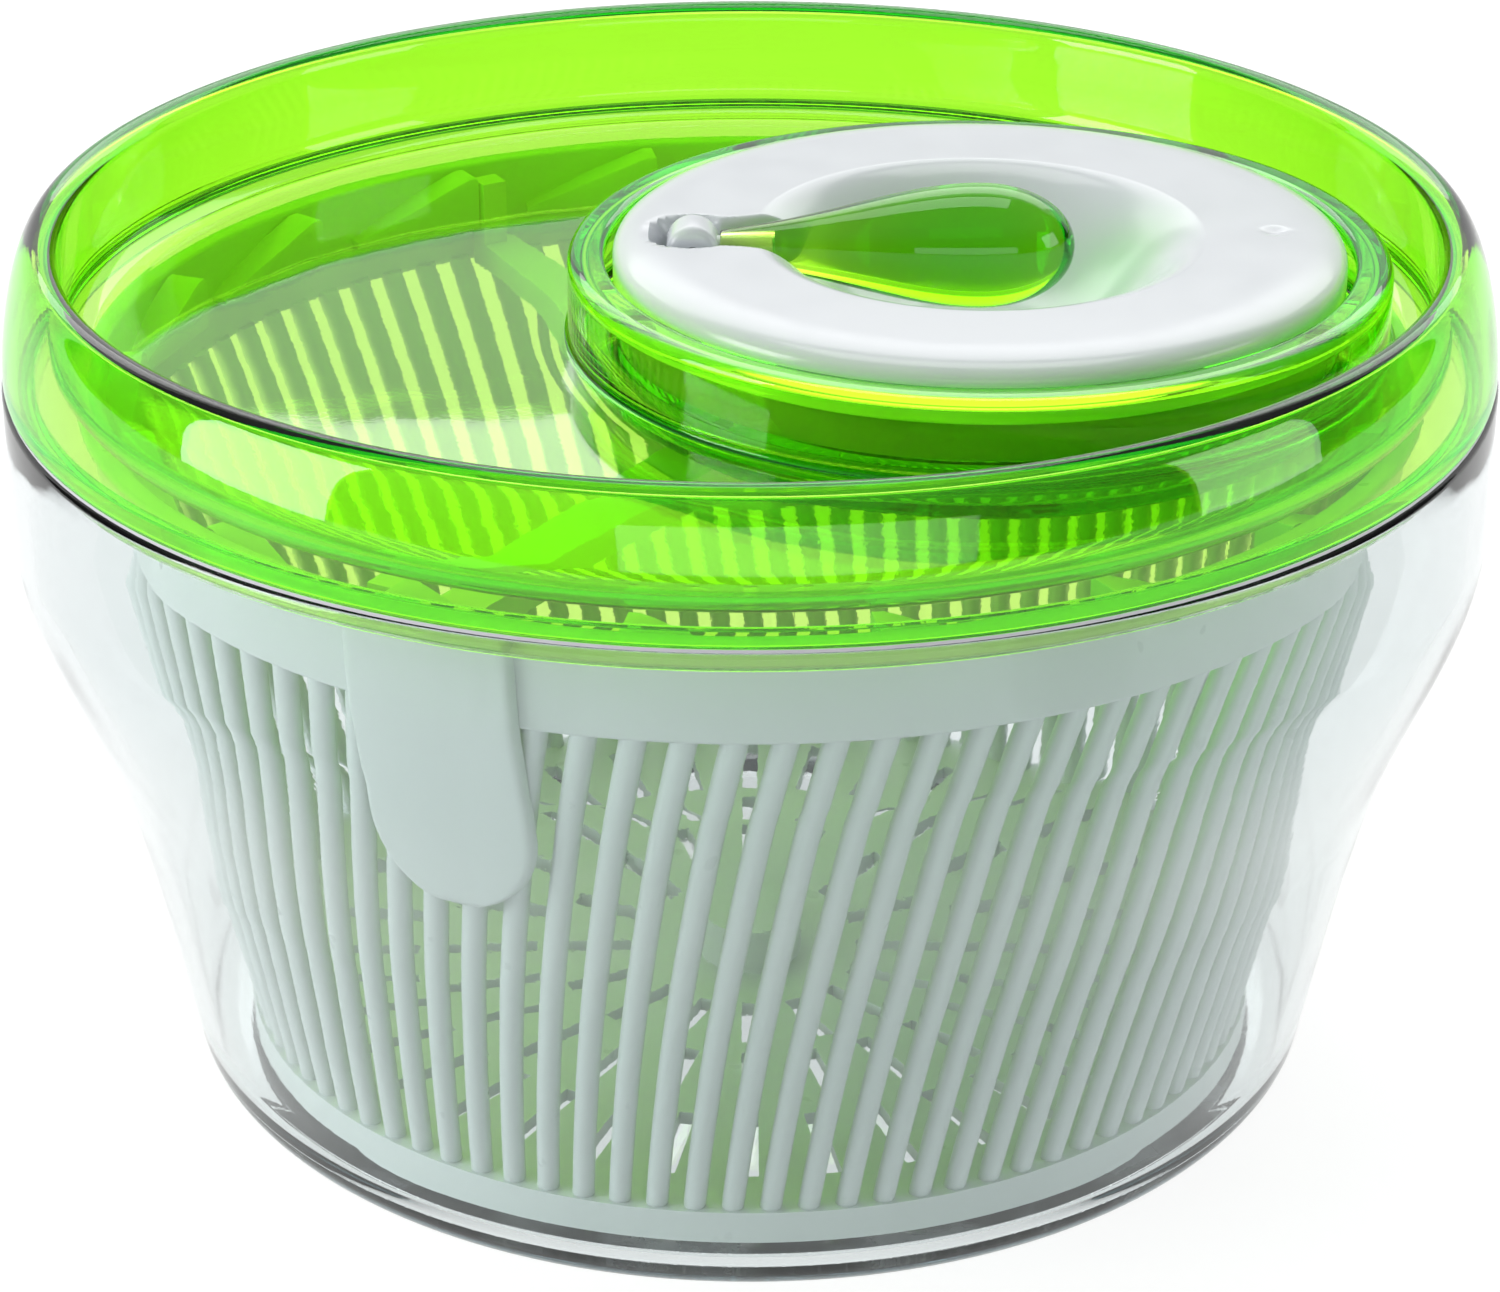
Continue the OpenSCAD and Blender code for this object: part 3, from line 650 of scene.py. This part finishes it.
def build_rim():
    """The basket's band with a rolled lip, and the ramps that the driver pushes."""
    foot_z, foot_r, top_r, wall, lip_h = low("basket_rim", 2), 114.7, 116.6, 2.4, 2.0
    top_z = basket_top_z
    outline = arc((foot_r - 0.8, foot_z + 0.8), 0.8, -90, 0, 4)
    outline += [(foot_r + 0.9, 119), (top_r, top_z - lip_h - 0.6)]
    outline += arc((lip_r - 0.9, top_z - lip_h + 0.9), 0.9, -90, 0, 4)
    outline += arc((lip_r - 0.9, top_z - 0.9), 0.9, 0, 90, 4)
    outline += arc((top_r - wall + 0.8, top_z - 0.8), 0.8, 90, 180, 4)
    outline += [(foot_r - wall + 0.9, 119)] + arc((foot_r - wall + 0.8, foot_z + 0.8), 0.8, 180, 270, 4)
    verts, faces = ring_shell([(0, r, z) for r, z in outline], SEGMENTS, closed=True)
    ramp_in, ramp_out, ramp_low, ramp_high, length, count = 106.6, 113.6, 119.0, 128.8, 26.0, 18
    root_r = 114.4
    steps = 14
    for k in range(count):
        turn = 2 * math.pi * k / count
        start = len(verts)
        for i in range(steps + 1):
            t = i / steps
            side = t * length
            height = ramp_high - (ramp_high - ramp_low - 1) * max(side - 2, 0) / (length - 2)
            ease = 0.5 if 0 < i < steps else 0.0
            root = min(ramp_out, math.sqrt(root_r ** 2 - side ** 2))
            for x, z in ((ramp_in + 0.5, ramp_low), (ramp_in, ramp_low + 0.5), (ramp_in, height - 0.5 - ease),
                         (ramp_in + 0.6, height), (root, height), (root, ramp_low)):
                verts.append((x * math.cos(turn) - side * math.sin(turn),
                              x * math.sin(turn) + side * math.cos(turn), z))
        for i in range(steps):
            for j in range(6):
                n = (j + 1) % 6
                a0, b0 = start + i * 6, start + (i + 1) * 6
                faces.append((a0 + j, a0 + n, b0 + n, b0 + j))
        faces.append(tuple(start + j for j in range(6)))
        faces.append(tuple(start + steps * 6 + j for j in range(6)))
    rim = make_piece("basket_rim_white", verts, faces, 40)
    settle(rim, "basket", "basket_white", basket_white, "basket_rim")


def build_grips():
    """Two finger grips: tongues with a soft edge, proud of the slats and the band."""
    width, wall, gap, slat_r = 30.0, 2.0, 0.35, 1.95
    top_z, band_z = basket_top_z - 2.0, low("basket_rim", 2)
    direction, rows, columns = -115.5, 56, 30
    verts, faces = [], []
    for turn in (0, 180):
        centre = math.radians(direction + turn)
        start = len(verts)
        for i in range(rows + 1):
            z = grip_foot_z + (top_z - grip_foot_z) * (i / rows) ** 1.5
            rise = z - grip_foot_z
            half = width / 2 * math.sqrt(1 - (1 - min(rise / (width / 2), 1)) ** 2)
            if z < band_z:
                back = slat_radius(z) + slat_r + gap
            else:
                t = (z - band_z) / (top_z - band_z)
                back = (slat_radius(band_z) + slat_r + gap) * (1 - t) + 116.65 * t
            for face in (0, 1):
                for j in range(columns + 1):
                    u = 2 * j / columns - 1
                    u = math.copysign(1 - (1 - abs(u)) ** 1.6, u)
                    side = u * half
                    near = min(half * (1 - abs(u)), rise * 0.8 + 0.05)
                    ease = math.sqrt(1 - (1 - min(near / 1.6, 1)) ** 2)
                    r = back + (wall - 0.15) * ease if face else back
                    a = centre + side / back
                    verts.append((r * math.cos(a), r * math.sin(a), z))
        per_row = 2 * (columns + 1)

        def at(i, face, j):
            return start + i * per_row + face * (columns + 1) + j

        for i in range(rows):
            for j in range(columns):
                faces.append((at(i, 1, j), at(i, 1, j + 1), at(i + 1, 1, j + 1), at(i + 1, 1, j)))
                faces.append((at(i, 0, j), at(i + 1, 0, j), at(i + 1, 0, j + 1), at(i, 0, j + 1)))
            for j in (0, columns):
                faces.append((at(i, 0, j), at(i, 1, j), at(i + 1, 1, j), at(i + 1, 0, j)))
        for i in (0, rows):
            for j in range(columns):
                faces.append((at(i, 0, j), at(i, 0, j + 1), at(i, 1, j + 1), at(i, 1, j)))
    grips = make_piece("basket_grips_white", verts, faces, 50)
    settle(grips, "basket", "basket_white", basket_white, "basket_grips")


# ---------------------------------------------------------------- CAD nodes that stay


def dress_cad_nodes():
    """Gives every CAD node that stays in view its finished material."""
    looks = {
        "non_slip_ring": frosted, "lid_seal": rubber, "pivot_pin": steel, "thrust_washer": acetal,
        "pivot_cup": acetal, "basket_floor": basket_white, "hub_bush": acetal, "shaft_bush": acetal,
        "ring_gear": gear_grey, "gear_screws": steel, "crank_washer": steel, "crank_screw": steel,
        "hinge_pin": steel, "knob_stem": white, "pinion": gear_grey, "drive_shaft": steel,
        "shaft_washer": steel, "drive_spider": acetal, "spider_screw": steel,
    }
    for name, material in looks.items():
        mesh = frame["nodes"][name].data
        mesh.materials.clear()
        mesh.materials.append(material)


# ---------------------------------------------------------------- studio


def area_light(name, place, target, size, power, colour=(1, 1, 1)):
    """A soft rectangular lamp at a place in metres, facing the target."""
    lamp = bpy.data.lights.new(name, "AREA")
    lamp.shape = "RECTANGLE"
    lamp.size, lamp.size_y = size
    lamp.energy = power
    lamp.color = colour
    holder = bpy.data.objects.new(name, lamp)
    holder.location = place
    holder.rotation_euler = (Vector(target) - Vector(place)).to_track_quat("-Z", "Y").to_euler()
    bpy.context.scene.collection.objects.link(holder)


def build_studio():
    """White sweep, a bright world that dims towards the horizon, and soft lamps."""
    floor_rows = [(-2.2, 0.0), (1.2, 0.0)]
    floor_rows += [(1.2 + 0.8 * math.sin(math.radians(a)), 0.8 - 0.8 * math.cos(math.radians(a))) for a in range(9, 91, 9)]
    floor_rows += [(2.0, 3.0)]
    verts = [(side * 3.0, y, z) for y, z in floor_rows for side in (-1, 1)]
    faces = [(2 * i, 2 * i + 1, 2 * i + 3, 2 * i + 2) for i in range(len(floor_rows) - 1)]
    mesh = bpy.data.meshes.new("studio_sweep")
    mesh.from_pydata(verts, [], faces)
    for face in mesh.polygons:
        face.use_smooth = True
    mesh.materials.append(studio_floor("studio_paper"))
    sweep = bpy.data.objects.new("studio_sweep", mesh)
    bpy.context.scene.collection.objects.link(sweep)

    world = bpy.data.worlds.new("studio_world")
    bpy.context.scene.world = world
    world.use_nodes = True
    tree = world.node_tree
    background = tree.nodes["Background"]
    place = tree.nodes.new("ShaderNodeTexCoord")
    split = tree.nodes.new("ShaderNodeSeparateXYZ")
    ramp = tree.nodes.new("ShaderNodeValToRGB")
    stops = ((0.0, 0.10), (0.12, 0.16), (0.45, 0.42), (0.75, 0.95), (1.0, 1.0))
    while len(ramp.color_ramp.elements) < len(stops):
        ramp.color_ramp.elements.new(0.5)
    for element, (position, tone) in zip(ramp.color_ramp.elements, stops):
        element.position = position
        element.color = (tone, tone * 1.005, tone * 1.015, 1)
    tree.links.new(place.outputs["Generated"], split.inputs["Vector"])
    tree.links.new(split.outputs["Z"], ramp.inputs["Fac"])
    tree.links.new(ramp.outputs["Color"], background.inputs["Color"])
    background.inputs["Strength"].default_value = 0.36

    area_light("key_left", (-1.15, -0.35, 0.42), (0, 0, 0.08), (0.6, 0.7), 9)
    area_light("fill_right", (1.15, -0.30, 0.36), (0, 0, 0.08), (0.5, 0.6), 3)
    area_light("top_soft", (0.0, 0.35, 1.2), (0, 0, 0.1), (0.8, 0.5), 3.2)
    area_light("front_fill", (0.15, -1.3, 0.30), (0, 0, 0.06), (1.2, 0.4), 2.5)
    area_light("back_glow", (0.0, 0.85, 0.75), (0, 0.1, 0.0), (1.6, 0.5), 5)


def build_camera():
    """The photograph's viewpoint: in front, looking down at the lid."""
    lens = bpy.data.cameras.new("camera")
    lens.sensor_width = 36
    lens.lens = 102
    camera = bpy.data.objects.new("camera", lens)
    camera.location = (0.0, -0.701, 0.404)
    camera.rotation_euler = (math.radians(90 - 25.28), 0, 0)
    bpy.context.scene.collection.objects.link(camera)
    bpy.context.scene.camera = camera


def set_scene():
    scene = bpy.context.scene
    scene.view_settings.view_transform = "Standard"
    scene.cycles.max_bounces = 24
    scene.cycles.transmission_bounces = 20
    scene.cycles.transparent_max_bounces = 24
    scene.cycles.glossy_bounces = 8
    scene.cycles.diffuse_bounces = 4


set_scene()
build_camera()
build_studio()
build_bowl()
build_lid()
build_disc()
build_knob()
build_slats()
build_rim()
build_grips()
dress_cad_nodes()

bpy.context.view_layer.update()
